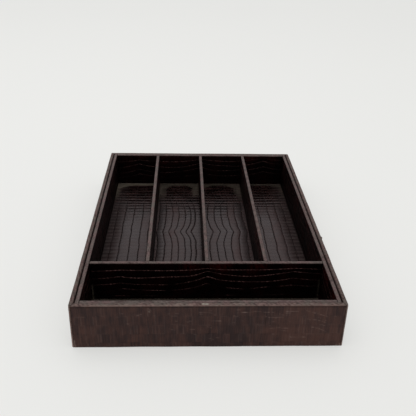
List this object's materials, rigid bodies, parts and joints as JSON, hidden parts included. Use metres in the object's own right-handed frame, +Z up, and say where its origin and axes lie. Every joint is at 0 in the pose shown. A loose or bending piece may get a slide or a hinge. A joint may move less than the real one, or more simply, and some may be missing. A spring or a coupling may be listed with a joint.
{
  "type": "knife tray",
  "caption": "Shallow open tray covered in embossed leather, with a cross compartment at the front and long knife compartments behind it.",
  "frame": {"origin": "middle of the underside, on the surface that the tray stands on", "axes": "+X across the tray to the right as seen from the front, +Y from the front, where the cross compartment is, to the back, +Z up out of the open top"},
  "size_m": [0.28, 0.396, 0.053],
  "materials": {
    "board": "matte",
    "case_leather": "matte",
    "liner_leather": "glossy",
    "floor_leather": "glossy",
    "suede": "matte",
    "card": "matte"
  },
  "bodies": {
    "root": {"base_board": "board", "left_wall_board": "board", "front_wall_board": "board", "right_wall_board": "board", "back_wall_board": "board", "left_wall_leather": "case_leather", "front_wall_leather": "case_leather", "right_wall_leather": "case_leather", "back_wall_leather": "case_leather", "underside_card": "card", "underside_suede": "suede", "floor_leather": "floor_leather", "left_liner_board": "board", "front_liner_board": "board", "right_liner_board": "board", "back_liner_board": "board", "left_liner_leather": "liner_leather", "front_liner_leather": "liner_leather", "right_liner_leather": "liner_leather", "back_liner_leather": "liner_leather", "cross_divider_board": "board", "cross_divider_leather": "liner_leather", "long_divider_board_1": "board", "long_divider_board_2": "board", "long_divider_board_3": "board", "long_divider_leather_1": "liner_leather", "long_divider_leather_2": "liner_leather", "long_divider_leather_3": "liner_leather"}
  },
  "joints": []
}
